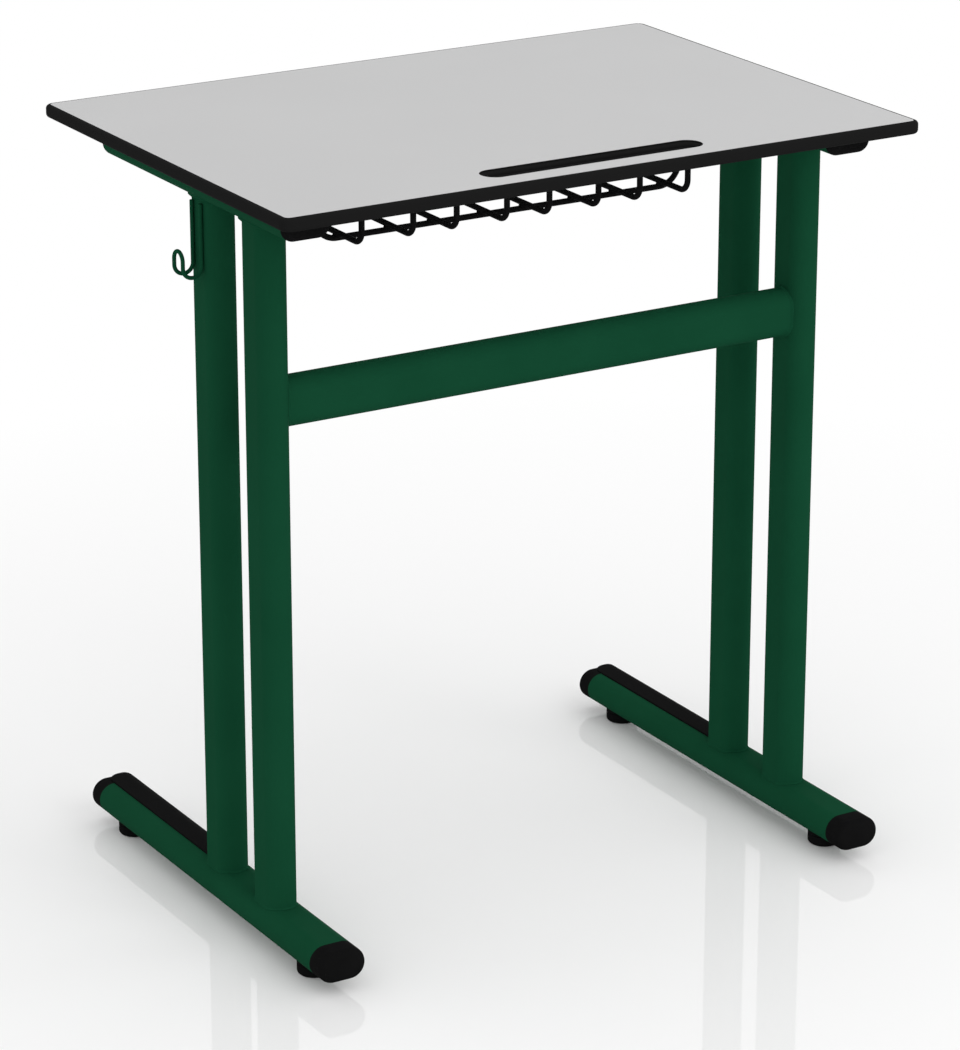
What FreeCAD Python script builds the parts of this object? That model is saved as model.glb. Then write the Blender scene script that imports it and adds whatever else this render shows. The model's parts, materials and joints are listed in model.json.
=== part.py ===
import FreeCAD, Part
import os
from math import cos, pi, sin, tan

# School desk, single seat. Compact laminate top on a welded flat-oval tube frame,
# a wire book basket under the top, one bag hook, moulded foot ends and
# screw-in levelling glides.
# Millimetres. +X right, +Y towards the user, +Z up.
# The origin is on the floor, under the centre of the top.

# Overall
overall_height = 770.0
top_length = 700.0
top_depth = 500.0
top_thickness = 13.0

# Flat-oval steel tube, a flatter one for the rails
tube_wide = 50.0
tube_narrow = 32.0
rail_narrow = 25.0
tube_wall = 2.0

# Frame layout
side_inset = 50.0             # end of the top to the middle of a side frame
floor_gap = 13.0              # floor to the underside of a foot
crossbar_drop = 216.4         # desk surface down to the crossbar's centre line
foot_far_reach = 3.5          # the moulded cap ends this far beyond the top's far edge
foot_user_inset = 4.5         # user's edge of the top to the end of the guard
rail_far_inset = 48.0
rail_user_inset = 77.0
far_post_inset = 86.0         # far end of a rail to the far post's middle
post_spacing = 101.0

# Fits
joint_gap = 0.1               # root gap where tubes and wires are welded
seat_gap = 0.3                # between a glide and what it screws up to
running_clearance = 0.06      # radial, on the levelling screw
plug_clearance = 0.15         # around a moulded plug in a tube end
overrun = 2.0                 # how far every cutting body runs past its wall
tolerance = 0.001             # two points or levels closer than this are one

# Desk top
top_corner_r = 10.0
top_edge_r = 4.0
decor_thickness = 0.3
groove_length = 242.0
groove_width = 30.0
groove_depth = 6.0
groove_floor_r = 4.0
groove_inset = 43.2           # far edge of the top to the groove's centre line

# Weld beads: how far they stand out, and how far they run along the tube
rail_bead_leg = 3.4
rail_bead_run = 3.8
foot_bead_leg = 1.0
foot_bead_run = 1.6
bar_bead_leg = 1.6
bar_bead_run = 2.4
bead_crown_share = 0.9        # rounding of a bead against its leg

# Moulded ends
plug_length = 18.0
plug_wall = 2.0
rail_cap_flange = 6.5
rail_cap_edge_r = 6.0
foot_cap_length = 24.0
foot_cap_dome_r = 8.0
guard_cap_length = 21.0
guard_cap_edge_r = 5.0
guard_thickness = 1.8
guard_offset = 8.0            # the guard starts this far left of the tube's middle
guard_drop = 4.0              # and ends this far below the tube's mid height
guard_edge_r = 0.8
guard_end_step = 2.5          # the guard ends this far short of the cap's tip
guard_corner_r = 14.0         # its left corner there, seen from above
peg_diameter = 5.0
peg_length = 5.0
peg_shares = (0.2, 0.75)      # pegs along the guard, from its post end

# Levelling glides
glide_far_inset = 60.5        # end of the foot to the glide's middle
glide_user_inset = 52.0
glide_diameter = 34.0
glide_edge_r = 3.5
glide_rim_r = 1.0
saddle_thickness = 2.0
barrel_diameter = 14.0
barrel_length = 14.0          # above the underside of the foot
stud_diameter = 8.0
stud_top = 40.0               # above the floor, screwed fully in
stud_head_diameter = 16.0
stud_head_height = 4.0
stud_head_level = 4.0         # underside of the head above the floor
stud_head_play = 0.1          # up and down in the pad
stud_head_room = 0.4          # around the head in the pad
stud_point = 1.0

# Bag hook
hook_wire = 4.0
hook_leg_spacing = 17.8
hook_bend_r = 9.85
hook_lowest = 113.0           # desk surface down to the lowest centre line
hook_tip_rise = 25.2          # lowest centre line up to the tip's
hook_top_gap = 0.5            # the rail's weld bead down to the upper ends

# Book basket
basket_wire = 6.0
hairpin_count = 4
hairpin_width = 56.0
hairpin_bend_r = 12.5
basket_floor_drop = 84.3      # desk surface down to the floor wires' centre line
basket_far_inset = 157.4      # far edge of the top to the basket's back
basket_user_inset = 45.0      # user's edge of the top to the floor wires' bends
far_cross_step = 50.6         # basket's back to the first cross wire
user_cross_step = 55.0        # floor wires' bends to the second
cross_wire_inset = 93.5       # middle of a side frame to a cross wire's upright
floor_wire_inset = 22.75      # that upright to the outermost floor wire
cross_bend_r = 23.5
hanger_bend_r = 8.0
eye_r = 6.0                   # centre line of a screw eye
eye_reach = 16.0              # upright to the middle of its eye
back_eye_inset = 93.0         # middle of a side frame to the back wire's eye

# Screws
frame_screw_far_inset = 34.0  # end of the rail to the screw
frame_screw_user_inset = 47.0
frame_screw_diameter = 6.0
frame_screw_head = 12.0
frame_screw_head_height = 4.0
frame_screw_play = 0.3
frame_screw_depth = 8.0       # into the top
access_hole = 14.0
insert_diameter = 9.0
insert_length = 9.0
basket_screw_diameter = 5.0
basket_screw_head = 16.0
basket_screw_head_height = 3.5
basket_screw_depth = 7.5
screw_play = 0.05
socket_sides = 6
socket_share = 0.5            # drive socket across, against the head
socket_depth_share = 0.6

# Levels and places that follow
far_edge = -top_depth / 2
user_edge = top_depth / 2
foot_far_end = far_edge - foot_far_reach
foot_user_end = user_edge - foot_user_inset
rail_far_end = far_edge + rail_far_inset
rail_user_end = user_edge - rail_user_inset
top_underside = overall_height - top_thickness
rail_level = top_underside - rail_narrow / 2
rail_bottom = top_underside - rail_narrow
foot_level = floor_gap + tube_narrow / 2
foot_top = floor_gap + tube_narrow
crossbar_level = overall_height - crossbar_drop
far_post_y = rail_far_end + far_post_inset
user_post_y = far_post_y + post_spacing
frame_screw_ys = (rail_far_end + frame_screw_far_inset, (far_post_y + user_post_y) / 2,
                  rail_user_end - frame_screw_user_inset)
side_middle = top_length / 2 - side_inset
sides = (("left", -side_middle), ("right", side_middle))
posts = (("far", far_post_y), ("user", user_post_y))
glides = (("far", foot_far_end + glide_far_inset), ("user", foot_user_end - glide_user_inset))
groove_y = far_edge + groove_inset
basket_back_y = far_edge + basket_far_inset
basket_user_y = user_edge - basket_user_inset
cross_wire_ys = (basket_back_y + far_cross_step, basket_user_y - user_cross_step)
cross_wire_half = side_middle - cross_wire_inset
back_eye_x = side_middle - back_eye_inset
hairpin_pitch = (2 * (cross_wire_half - floor_wire_inset) - hairpin_width) / (hairpin_count - 1)
wire_r = basket_wire / 2
wire_step = basket_wire + joint_gap
hanger_level = top_underside - joint_gap - wire_r
floor_wire_level = overall_height - basket_floor_drop
saddle_bottom = floor_gap - saddle_thickness
guard_start = user_post_y + tube_wide / 2 + foot_bead_leg + seat_gap
peg_shift = (tube_wide - tube_narrow) / 4      # from the tube's middle, on its flat top
bore_r = stud_diameter / 2 + running_clearance

vec = FreeCAD.Vector
x_way = vec(1, 0, 0)
y_way = vec(0, 1, 0)
z_way = vec(0, 0, 1)


def flat_oval(centre, across, through, wide, narrow):
    """Face with two straight sides along 'across' and half-round ends."""
    end_r = narrow / 2
    reach = wide / 2 - end_r

    def at(u, v):
        return centre + across * u + through * v

    outline = [
        Part.LineSegment(at(-reach, end_r), at(reach, end_r)).toShape(),
        Part.Arc(at(reach, end_r), at(wide / 2, 0), at(reach, -end_r)).toShape(),
        Part.LineSegment(at(reach, -end_r), at(-reach, -end_r)).toShape(),
        Part.Arc(at(-reach, -end_r), at(-wide / 2, 0), at(-reach, end_r)).toShape(),
    ]
    return Part.Face(Part.Wire(outline))


def oval_bar(start, run, across, through, grow, narrow=tube_narrow):
    """Solid bar of a tube's section, grown all round, from 'start' along 'run'."""
    face = flat_oval(start, across, through, tube_wide + 2 * grow, narrow + 2 * grow)
    return face.extrude(run)


def foot_bar(x, y_start, y_end, grow=0):
    """Bar of the tube's section lying flat, at a foot's level."""
    start = vec(x, y_start, foot_level)
    return oval_bar(start, vec(0, y_end - y_start, 0), x_way, z_way, grow)


def rail_bar(x, y_start, y_end, grow=0):
    """Bar of the rail's section lying flat under the top."""
    start = vec(x, y_start, rail_level)
    return oval_bar(start, vec(0, y_end - y_start, 0), x_way, z_way, grow, rail_narrow)


def upright(x, y, z_start, z_end, grow=0):
    """Bar of the tube's section standing up, broad side seen from left or right."""
    return oval_bar(vec(x, y, z_start), vec(0, 0, z_end - z_start), y_way, x_way, grow)


def along_x(x_start, x_end, grow=0):
    """Bar of the tube's section on edge, at the crossbar's place."""
    start = vec(x_start, far_post_y, crossbar_level)
    return oval_bar(start, vec(x_end - x_start, 0, 0), z_way, y_way, grow)


def edges_at(shape, way, level):
    """Edges that lie wholly in the plane across 'way' at 'level'."""
    return [edge for edge in shape.Edges
            if all(abs(vertex.Point.dot(way) - level) < tolerance for vertex in edge.Vertexes)
            and abs(edge.CenterOfMass.dot(way) - level) < tolerance]


def drum(x, y, z, diameter, height):
    """Upright cylinder on the point given."""
    return Part.makeCylinder(diameter / 2, height, vec(x, y, z))


def socket(x, y, z, head_diameter, head_height):
    """Hexagonal drive socket, open downwards at z."""
    half = head_diameter * socket_share / 2
    depth = head_height * socket_depth_share
    turns = [2 * pi * corner / socket_sides for corner in range(socket_sides + 1)]
    hexagon = Part.makePolygon([vec(x + half * cos(turn), y + half * sin(turn), z - overrun)
                                for turn in turns])
    return Part.Face(hexagon).extrude(vec(0, 0, depth + overrun))


def bent_wire(points, bend_radii, diameter):
    """Round wire along straight runs joined by tangent arcs, one radius a corner."""
    edges = []
    last = points[0]
    for before, corner, after, radius in zip(points, points[1:], points[2:], bend_radii):
        arrive = (corner - before).normalize()
        leave = (after - corner).normalize()
        half_turn = arrive.getAngle(leave) / 2
        entry = corner - arrive * (radius * tan(half_turn))
        departure = corner + leave * (radius * tan(half_turn))
        inward = (leave - arrive).normalize()
        middle = corner + inward * (radius / cos(half_turn) - radius)
        if (entry - last).Length > tolerance:
            edges.append(Part.LineSegment(last, entry).toShape())
        edges.append(Part.Arc(entry, middle, departure).toShape())
        last = departure
    if (points[-1] - last).Length > tolerance:
        edges.append(Part.LineSegment(last, points[-1]).toShape())
    circle = Part.Circle(points[0], points[1] - points[0], diameter / 2).toShape()
    return Part.Wire(edges).makePipeShell([Part.Wire(circle)], True, False)


def weld_bead(ring, way, free_level, leg):
    """Rounds the free end of a short bar that stands proud of the tube."""
    return ring.makeFillet(leg * bead_crown_share, edges_at(ring, way, free_level))


# Desk top

def top_blank():
    """The whole slab: rounded corners, both rims rounded, groove milled in."""
    corner = vec(-top_length / 2, -top_depth / 2, top_underside)
    slab = Part.makeBox(top_length, top_depth, top_thickness, corner)
    uprights = [edge for edge in slab.Edges if abs(edge.CenterOfMass.z - top_underside) > tolerance
                and abs(edge.CenterOfMass.z - overall_height) > tolerance]
    slab = slab.makeFillet(top_corner_r, uprights)
    rims = edges_at(slab, z_way, overall_height) + edges_at(slab, z_way, top_underside)
    slab = slab.makeFillet(top_edge_r, rims)
    groove_floor = overall_height - groove_depth
    face = flat_oval(vec(0, groove_y, groove_floor), x_way, y_way, groove_length, groove_width)
    groove = face.extrude(vec(0, 0, groove_depth + overrun))
    groove = groove.makeFillet(groove_floor_r, edges_at(groove, z_way, groove_floor))
    return slab.cut(groove)


def frame_screw_places():
    return [(x, y) for _, x in sides for y in frame_screw_ys]


def basket_screw_places():
    places = [(cross_wire_half + eye_reach, y + eye_r) for y in cross_wire_ys]
    places.append((back_eye_x, basket_back_y + wire_step + eye_r))
    return [(side * x, y) for x, y in places for side in (-1, 1)]


def top_holes():
    """Blind holes from below: insert pockets and the basket's pilot holes."""
    start = top_underside - overrun
    pocket = insert_diameter + 2 * screw_play
    pilot = basket_screw_diameter + 2 * screw_play
    holes = [drum(x, y, start, pocket, insert_length + overrun) for x, y in frame_screw_places()]
    holes += [drum(x, y, start, pilot, basket_screw_depth + screw_play + overrun)
              for x, y in basket_screw_places()]
    return Part.makeCompound(holes)


def top_layer(blank, z_low, z_high):
    """The slice of the drilled blank between two levels."""
    corner = vec(-top_length / 2 - overrun, -top_depth / 2 - overrun, z_low)
    slab = Part.makeBox(top_length + 2 * overrun, top_depth + 2 * overrun, z_high - z_low, corner)
    return blank.common(slab)


# Welded frame

def post(x, y):
    """Upright tube, coped over the foot and under the rail, with its weld beads."""
    column = upright(x, y, foot_level, rail_level)
    rail_bead_level = rail_bottom - rail_bead_run
    rail_bead = weld_bead(upright(x, y, rail_bead_level, rail_level, rail_bead_leg),
                          z_way, rail_bead_level, rail_bead_leg)
    foot_bead_level = foot_top + foot_bead_run
    foot_bead = weld_bead(upright(x, y, foot_level, foot_bead_level, foot_bead_leg),
                          z_way, foot_bead_level, foot_bead_leg)
    column = column.fuse([rail_bead, foot_bead])
    reach = tube_wide
    column = column.cut(rail_bar(x, y - reach, y + reach, joint_gap))
    column = column.cut(foot_bar(x, y - reach, y + reach, joint_gap))
    return column.cut(upright(x, y, foot_level - overrun, rail_level + overrun, -tube_wall))


def crossbar():
    """Tube on edge between the far posts, coped to them, with its weld beads."""
    half = side_middle
    inner_face = half - tube_narrow / 2
    bead_level = inner_face - bar_bead_run
    bar = along_x(-half, half)
    right_bead = weld_bead(along_x(bead_level, half, bar_bead_leg), x_way, bead_level, bar_bead_leg)
    left_bead = weld_bead(along_x(-half, -bead_level, bar_bead_leg), x_way, -bead_level, bar_bead_leg)
    bar = bar.fuse([right_bead, left_bead])
    low = crossbar_level - tube_wide
    high = crossbar_level + tube_wide
    for _, x in sides:
        bar = bar.cut(upright(x, far_post_y, low, high, joint_gap))
    return bar.cut(along_x(-half - overrun, half + overrun, -tube_wall))


def top_rail(x):
    """Flat tube under the top. Each screw has a small hole above and a wide one below."""
    start = rail_far_end + rail_cap_flange
    end = rail_user_end - rail_cap_flange
    rail = rail_bar(x, start, end)
    rail = rail.cut(rail_bar(x, start - overrun, end + overrun, -tube_wall))
    for y in frame_screw_ys:
        clear = frame_screw_diameter + 2 * frame_screw_play
        rail = rail.cut(drum(x, y, rail_level, clear, rail_narrow))
        rail = rail.cut(drum(x, y, rail_bottom - overrun, access_hole, tube_wall + 2 * overrun))
    return rail


def foot_tube(x):
    """Flat tube on the floor side, drilled below for the glides, above for the guard."""
    start = foot_far_end + foot_cap_length
    end = foot_user_end - guard_cap_length
    foot = foot_bar(x, start, end)
    foot = foot.cut(foot_bar(x, start - overrun, end + overrun, -tube_wall))
    for _, y in glides:
        hole = barrel_diameter + 2 * plug_clearance
        foot = foot.cut(drum(x, y, floor_gap - overrun, hole, tube_wall + 2 * overrun))
    for y in peg_places():
        hole = peg_diameter + 2 * plug_clearance
        level = foot_top - tube_wall - overrun
        foot = foot.cut(drum(x + peg_shift, y, level, hole, tube_wall + 2 * overrun))
    return foot


# Moulded ends

def tube_plug(bar, x, y_mouth, y_inner):
    """Hollow plug of a moulded cap, from the tube's mouth inwards."""
    around = -tube_wall - plug_clearance
    past = overrun if y_inner > y_mouth else -overrun
    hollow = bar(x, y_mouth, y_inner + past, around - plug_wall)
    return bar(x, y_mouth, y_inner, around).cut(hollow)


def end_cap(bar, x, y_mouth, y_outer, edge_r):
    """Cap of the outline that 'bar' gives on the tube's mouth, rounded at its outer rim."""
    body = bar(x, y_mouth, y_outer)
    body = body.makeFillet(edge_r, edges_at(body, y_way, y_outer))
    inward = plug_length if y_mouth > y_outer else -plug_length
    return body.fuse(tube_plug(bar, x, y_mouth, y_mouth + inward))


def peg_places():
    return [guard_start + share * (foot_user_end - guard_start) for share in peg_shares]


def guard_strip(x):
    """Scuff guard: a skin over half the tube's top and round its right side."""
    start = guard_start - tube_narrow
    end = foot_user_end - guard_end_step
    skin = foot_bar(x, start, end, guard_thickness)
    skin = skin.makeFillet(guard_edge_r, edges_at(skin, y_way, end))
    skin = skin.cut(foot_bar(x, start - overrun, foot_user_end - guard_cap_length))
    low_corner = vec(x - guard_offset, start, foot_level - guard_drop)
    keep = Part.makeBox(tube_wide, end - start, tube_narrow, low_corner)
    left_corner = [edge for edge in edges_at(keep, y_way, end)
                   if abs(edge.CenterOfMass.x - low_corner.x) < tolerance]
    skin = skin.common(keep.makeFillet(guard_corner_r, left_corner))
    return skin.cut(upright(x, user_post_y, floor_gap, foot_top + tube_narrow, foot_bead_leg + seat_gap))


def foot_guard(x):
    """User-side foot end: cap, plug, scuff guard and its pegs in one moulding."""
    mouth = foot_user_end - guard_cap_length
    moulding = end_cap(foot_bar, x, mouth, foot_user_end, guard_cap_edge_r)
    level = foot_top - peg_length
    pegs = [drum(x + peg_shift, y, level, peg_diameter, peg_length + guard_thickness / 2)
            for y in peg_places()]
    return moulding.fuse([guard_strip(x)] + pegs)


# Levelling glides

def glide_insert(x, y):
    """Moulded threaded insert: a saddle against the tube and a barrel inside it."""
    saddle = drum(x, y, saddle_bottom, glide_diameter, foot_level - saddle_bottom)
    saddle = saddle.cut(foot_bar(x, y - glide_diameter, y + glide_diameter))
    barrel = drum(x, y, saddle_bottom, barrel_diameter, saddle_thickness + barrel_length)
    bore = drum(x, y, saddle_bottom - overrun, 2 * bore_r, saddle_thickness + barrel_length + 2 * overrun)
    return saddle.fuse(barrel).cut(bore)


def glide_pad(x, y):
    """Round foot pad with a closed room for the screw's head."""
    height = saddle_bottom - seat_gap
    pad = drum(x, y, 0, glide_diameter, height)
    pad = pad.makeFillet(glide_edge_r, edges_at(pad, z_way, 0))
    pad = pad.makeFillet(glide_rim_r, edges_at(pad, z_way, height))
    room = drum(x, y, stud_head_level - stud_head_play, stud_head_diameter + 2 * stud_head_room,
                stud_head_height + 2 * stud_head_play)
    neck = drum(x, y, stud_head_level, 2 * bore_r, height)
    return pad.cut(room.fuse(neck))


def glide_stud(x, y):
    """Levelling screw: flat round head below, plain shank of the thread's diameter."""
    head = drum(x, y, stud_head_level, stud_head_diameter, stud_head_height)
    shank = drum(x, y, stud_head_level, stud_diameter, stud_top - stud_head_level)
    shank = shank.makeChamfer(stud_point, edges_at(shank, z_way, stud_top))
    return head.fuse(shank)


# Bag hook

def bag_hook(x):
    """Wire on the outside of the user-side post: two legs, a J bend each, one tip."""
    wall = x - tube_narrow / 2 - joint_gap - hook_wire / 2
    tip = wall - 2 * hook_bend_r
    near = user_post_y + hook_leg_spacing / 2
    away = user_post_y - hook_leg_spacing / 2
    upper = rail_bottom - rail_bead_run - hook_top_gap
    low = overall_height - hook_lowest
    high = low + hook_tip_rise
    points = [vec(wall, near, upper), vec(wall, near, low), vec(tip, near, low), vec(tip, near, high),
              vec(tip, away, high), vec(tip, away, low), vec(wall, away, low), vec(wall, away, upper)]
    tip_r = hook_leg_spacing / 2
    radii = [hook_bend_r, hook_bend_r, tip_r, tip_r, hook_bend_r, hook_bend_r]
    return bent_wire(points, radii, hook_wire)


# Book basket

def hairpin(index):
    """Two floor wires joined by a U bend at the user's end, turned up at the back."""
    x = (index - (hairpin_count - 1) / 2) * hairpin_pitch
    left = x - hairpin_width / 2
    right = x + hairpin_width / 2
    points = [vec(left, basket_back_y, hanger_level), vec(left, basket_back_y, floor_wire_level),
              vec(left, basket_user_y, floor_wire_level), vec(right, basket_user_y, floor_wire_level),
              vec(right, basket_back_y, floor_wire_level), vec(right, basket_back_y, hanger_level)]
    radii = [hairpin_bend_r, hairpin_width / 2, hairpin_width / 2, hairpin_bend_r]
    return bent_wire(points, radii, basket_wire)


def eye_corners(x, y):
    """Corners of a three-quarter eye that the wire enters along +X at y."""
    far_side = y + 2 * eye_r
    return [vec(x + eye_r, y, hanger_level), vec(x + eye_r, far_side, hanger_level),
            vec(x - eye_r, far_side, hanger_level), vec(x - eye_r, y + eye_r, hanger_level)]


def both_ways(right_points, right_radii, diameter):
    """Wire through its right half's points and their mirror image on the left."""
    left_points = [vec(-point.x, point.y, point.z) for point in reversed(right_points)]
    radii = list(reversed(right_radii)) + right_radii
    return bent_wire(left_points + right_points, radii, diameter)


def cross_wire(y):
    """Carries the floor wires. Its ends rise to the top and end in screw eyes."""
    level = floor_wire_level - wire_step
    points = [vec(cross_wire_half, y, level), vec(cross_wire_half, y, hanger_level)]
    points += eye_corners(cross_wire_half + eye_reach, y)
    return both_ways(points, [cross_bend_r, hanger_bend_r] + [eye_r] * 3, basket_wire)


def back_wire():
    """Joins the floor wires' upturned ends, flat under the top, eyes at both ends."""
    points = eye_corners(back_eye_x, basket_back_y + wire_step)
    return both_ways(points, [eye_r] * 3, basket_wire)


# Screws

def frame_screw(x, y):
    """Pan head against the inside of the rail's upper wall, shank into the top."""
    seat = top_underside - tube_wall
    head = drum(x, y, seat - frame_screw_head_height, frame_screw_head, frame_screw_head_height)
    shank = drum(x, y, seat, frame_screw_diameter, tube_wall + frame_screw_depth)
    recess = socket(x, y, seat - frame_screw_head_height, frame_screw_head, frame_screw_head_height)
    return head.fuse(shank).cut(recess)


def frame_insert(x, y):
    """Threaded bush in the top for one frame screw."""
    bush = drum(x, y, top_underside, insert_diameter, insert_length - screw_play)
    bore = frame_screw_diameter + 2 * screw_play
    return bush.cut(drum(x, y, top_underside - overrun, bore, insert_length + 2 * overrun))


def basket_screw(x, y):
    """Washer-head screw through a wire eye into the top."""
    seat = hanger_level - wire_r
    head = drum(x, y, seat - basket_screw_head_height, basket_screw_head, basket_screw_head_height)
    shank = drum(x, y, seat, basket_screw_diameter, top_underside + basket_screw_depth - seat)
    recess = socket(x, y, seat - basket_screw_head_height, basket_screw_head, basket_screw_head_height)
    return head.fuse(shank).cut(recess)


def save(name, shape):
    """Writes one node and reports what it holds."""
    shape.exportStep(f"parts/{name}.step")
    print(f"{name}: {len(shape.Solids)} solid, {shape.Volume:.0f} mm3, valid {shape.isValid()}")


os.makedirs("parts", exist_ok=True)

drilled_top = top_blank().cut(top_holes())
core_low = top_underside + decor_thickness
core_high = overall_height - decor_thickness
save("desk_top_underface", top_layer(drilled_top, top_underside, core_low))
save("desk_top_core", top_layer(drilled_top, core_low, core_high))
save("desk_top_face", top_layer(drilled_top, core_high, overall_height))

save("crossbar", crossbar())
for side, side_x in sides:
    save(f"top_rail_{side}", top_rail(side_x))
    save(f"foot_tube_{side}", foot_tube(side_x))
    for place, post_y in posts:
        save(f"post_{side}_{place}", post(side_x, post_y))
    save(f"rail_cap_{side}_far", end_cap(rail_bar, side_x, rail_far_end + rail_cap_flange,
                                         rail_far_end, rail_cap_edge_r))
    save(f"rail_cap_{side}_user", end_cap(rail_bar, side_x, rail_user_end - rail_cap_flange,
                                          rail_user_end, rail_cap_edge_r))
    save(f"foot_cap_{side}", end_cap(foot_bar, side_x, foot_far_end + foot_cap_length,
                                     foot_far_end, foot_cap_dome_r))
    save(f"foot_guard_{side}", foot_guard(side_x))
    for place, glide_y in glides:
        save(f"glide_insert_{side}_{place}", glide_insert(side_x, glide_y))
        save(f"glide_stud_{side}_{place}", glide_stud(side_x, glide_y))
        save(f"glide_pad_{side}_{place}", glide_pad(side_x, glide_y))

save("bag_hook", bag_hook(sides[0][1]))
for number in range(hairpin_count):
    save(f"basket_hairpin_{number + 1}", hairpin(number))
for place, wire_y in zip(("far", "user"), cross_wire_ys):
    save(f"basket_cross_wire_{place}", cross_wire(wire_y))
save("basket_back_wire", back_wire())

save("frame_screws", Part.makeCompound([frame_screw(x, y) for x, y in frame_screw_places()]))
save("frame_screw_inserts", Part.makeCompound([frame_insert(x, y) for x, y in frame_screw_places()]))
save("basket_screws", Part.makeCompound([basket_screw(x, y) for x, y in basket_screw_places()]))
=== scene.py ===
# School desk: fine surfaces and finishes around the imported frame
import json
import bmesh
import bpy
import numpy as np
from math import atan, cos, pi, radians, tan
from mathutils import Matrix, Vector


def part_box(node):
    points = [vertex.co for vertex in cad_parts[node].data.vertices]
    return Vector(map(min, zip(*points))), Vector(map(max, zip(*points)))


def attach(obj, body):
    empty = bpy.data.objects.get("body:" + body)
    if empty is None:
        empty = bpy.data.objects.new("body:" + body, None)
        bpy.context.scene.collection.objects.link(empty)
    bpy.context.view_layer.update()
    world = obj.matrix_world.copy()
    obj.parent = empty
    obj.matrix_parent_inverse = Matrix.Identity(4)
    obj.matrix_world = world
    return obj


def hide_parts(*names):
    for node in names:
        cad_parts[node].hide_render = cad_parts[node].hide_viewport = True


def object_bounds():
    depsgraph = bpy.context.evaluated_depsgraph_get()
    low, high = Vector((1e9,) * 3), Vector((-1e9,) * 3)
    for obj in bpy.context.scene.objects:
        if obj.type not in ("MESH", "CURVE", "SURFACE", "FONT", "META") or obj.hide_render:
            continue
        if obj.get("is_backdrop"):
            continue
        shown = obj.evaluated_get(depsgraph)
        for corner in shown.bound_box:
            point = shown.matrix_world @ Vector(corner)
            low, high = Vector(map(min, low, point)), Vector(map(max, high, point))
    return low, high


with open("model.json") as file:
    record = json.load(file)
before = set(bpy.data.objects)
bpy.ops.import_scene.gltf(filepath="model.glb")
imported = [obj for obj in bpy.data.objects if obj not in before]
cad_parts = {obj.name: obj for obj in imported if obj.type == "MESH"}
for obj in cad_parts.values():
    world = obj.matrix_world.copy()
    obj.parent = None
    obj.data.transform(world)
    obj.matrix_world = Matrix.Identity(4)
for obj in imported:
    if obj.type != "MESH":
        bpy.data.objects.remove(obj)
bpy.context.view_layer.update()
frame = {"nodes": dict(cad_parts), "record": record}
bodyOf = {node: body for body, members in frame["record"]["behaviour"]["bodies"].items()
          for node in members}
sides = ("left", "right")
places = ("far", "user")
print("frame loaded:", len(frame["nodes"]), "nodes")


# Mesh helpers

weldDistance = 1e-6  # points nearer than this become one
creaseAngle = radians(35)  # edges sharper than this stay sharp in the shading
xWay, yWay, zWay = np.eye(3)


# Quads over a grid of points. A closed way joins its last line of points to its first.
def gridQuads(rows, columns, closeRows, closeColumns):
    rowStarts = np.arange(rows if closeRows else rows - 1)
    columnStarts = np.arange(columns if closeColumns else columns - 1)
    r, c = np.meshgrid(rowStarts, columnStarts, indexing="ij")
    nextRow, nextColumn = (r + 1) % rows, (c + 1) % columns
    corners = [r * columns + c, r * columns + nextColumn,
               nextRow * columns + nextColumn, nextRow * columns + c]
    return np.stack(corners, -1).reshape(-1, 4)


# Smooth shading that keeps the sharp edges
def smoothShade(mesh):
    mesh.shade_smooth()
    mesh.set_sharp_from_angle(angle=creaseAngle)


# One mesh from several grids of points, each given with its two closed ways
def makeMesh(name, grids):
    points, quads, count = [], [], 0
    for grid, closeRows, closeColumns in grids:
        rows, columns = grid.shape[:2]
        points.append(grid.reshape(-1, 3))
        quads.append(gridQuads(rows, columns, closeRows, closeColumns) + count)
        count += rows * columns
    mesh = bpy.data.meshes.new(name)
    mesh.from_pydata(np.concatenate(points), [], np.concatenate(quads))
    work = bmesh.new()
    work.from_mesh(mesh)
    bmesh.ops.remove_doubles(work, verts=work.verts, dist=weldDistance)
    bmesh.ops.dissolve_degenerate(work, edges=work.edges, dist=weldDistance)
    bmesh.ops.recalc_face_normals(work, faces=work.faces)
    work.to_mesh(mesh)
    work.free()
    smoothShade(mesh)
    return mesh


# Puts a finished mesh into the scene in place of its nodes, with their body and slot
def addPiece(name, mesh, material, replaced):
    piece = bpy.data.objects.new(name, mesh)
    bpy.context.scene.collection.objects.link(piece)
    mesh.materials.append(material)
    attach(piece, bodyOf[replaced[0]])
    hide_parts(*replaced)


def centreOf(node):
    low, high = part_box(node)
    return (np.array(low) + np.array(high)) / 2


# Finishes

noiseMiddle = (0.3, 0.7)  # most of a noise's values lie in this range
mixSockets = {"first": 6, "second": 7, "result": 2}  # numbers of the Mix node's colour sockets


def newMaterial(name):
    material = bpy.data.materials.new(name)
    material.use_nodes = True
    tree = material.node_tree
    tree.nodes.clear()
    output = tree.nodes.new("ShaderNodeOutputMaterial")
    shader = tree.nodes.new("ShaderNodeBsdfPrincipled")
    tree.links.new(shader.outputs["BSDF"], output.inputs["Surface"])
    return material, tree, shader


# A texture node on the piece's own coordinates, stretched by the scale given
def textureNode(tree, kind, scale, stretch=(1, 1, 1), **values):
    coordinates = tree.nodes.new("ShaderNodeTexCoord")
    mapping = tree.nodes.new("ShaderNodeMapping")
    mapping.inputs["Scale"].default_value = stretch
    texture = tree.nodes.new(kind)
    tree.links.new(coordinates.outputs["Object"], mapping.inputs["Vector"])
    tree.links.new(mapping.outputs["Vector"], texture.inputs["Vector"])
    texture.inputs["Scale"].default_value = scale
    for key, value in values.items():
        texture.inputs[key].default_value = value
    return texture


# Soft noise, as clouds or as fine waves
def noise(tree, scale, detail, stretch=(1, 1, 1)):
    return textureNode(tree, "ShaderNodeTexNoise", scale, stretch, Detail=detail).outputs["Fac"]


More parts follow.
